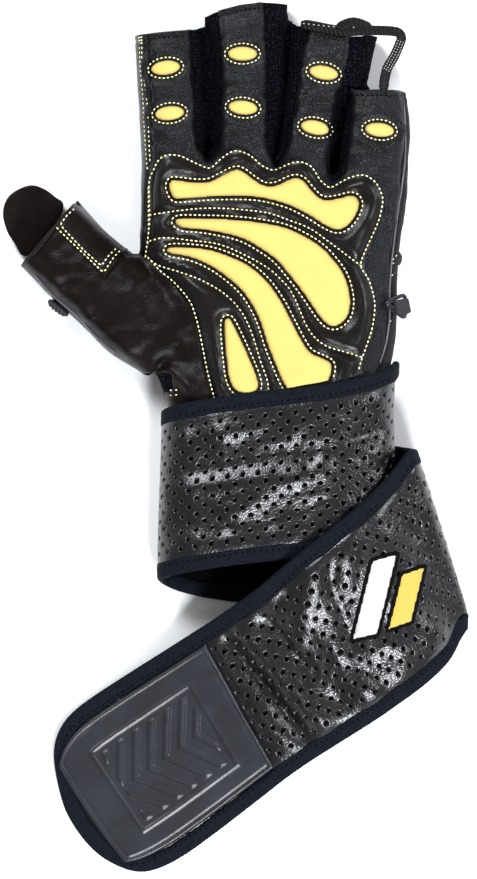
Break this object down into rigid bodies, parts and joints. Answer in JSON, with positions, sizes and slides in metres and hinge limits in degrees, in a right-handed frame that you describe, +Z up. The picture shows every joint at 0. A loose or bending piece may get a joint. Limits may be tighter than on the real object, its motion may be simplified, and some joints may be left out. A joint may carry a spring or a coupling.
{
  "type": "weightlifting glove",
  "caption": "Half-finger weightlifting glove, palm up, with padded palm and a long perforated wrist wrap lying out to one side.",
  "frame": {"origin": "under the middle of the whole glove and wrap, on the surface they lie on", "axes": "+Y from the wrist to the fingertips, +Z up out of the palm, +X from the thumb's side to the little finger's side"},
  "size_m": [0.1928, 0.3478, 0.036],
  "materials": {
    "palm_leather": "black goat leather, soft sheen",
    "back_fabric": "black stretch fabric",
    "overlay_leather": "dark leather, matt",
    "thumb_leather": "very dark brown leather",
    "pad": "pale yellow padded microfibre",
    "knit": "black elastic knit",
    "lace": "black woven lace",
    "ring": "black moulded plastic",
    "bump": "black ribbed rubber",
    "webbing": "dark woven webbing",
    "wrap": "perforated black leather, glossy",
    "binding": "dark navy woven binding",
    "rubber_patch": "dark grey moulded rubber"
  },
  "bodies": {
    "root": {"back_panel": "back_fabric", "palm_leather": "palm_leather", "index_side": "palm_leather", "outer_side": "back_fabric", "gusset_index_middle": "knit", "gusset_middle_ring": "knit", "gusset_ring_little": "knit", "thumb_leather": "thumb_leather", "thumb_base_gusset": "knit", "palm_overlay": "overlay_leather", "pad_knuckle": "pad", "pad_crescent": "pad", "pad_arch": "pad", "pad_heel": "pad", "oval_index_1": "pad", "oval_index_2": "pad", "oval_middle_1": "pad", "oval_middle_2": "pad", "oval_ring_1": "pad", "oval_ring_2": "pad", "oval_little_1": "pad", "thumb_patch": "overlay_leather", "thumb_tab": "overlay_leather", "thumb_bump": "bump", "pull_loop": "lace", "side_ring": "ring", "side_webbing": "webbing", "side_loop": "webbing", "wrist_wrap": "wrap", "wrap_binding": "binding", "end_patch": "rubber_patch"}
  },
  "joints": []
}
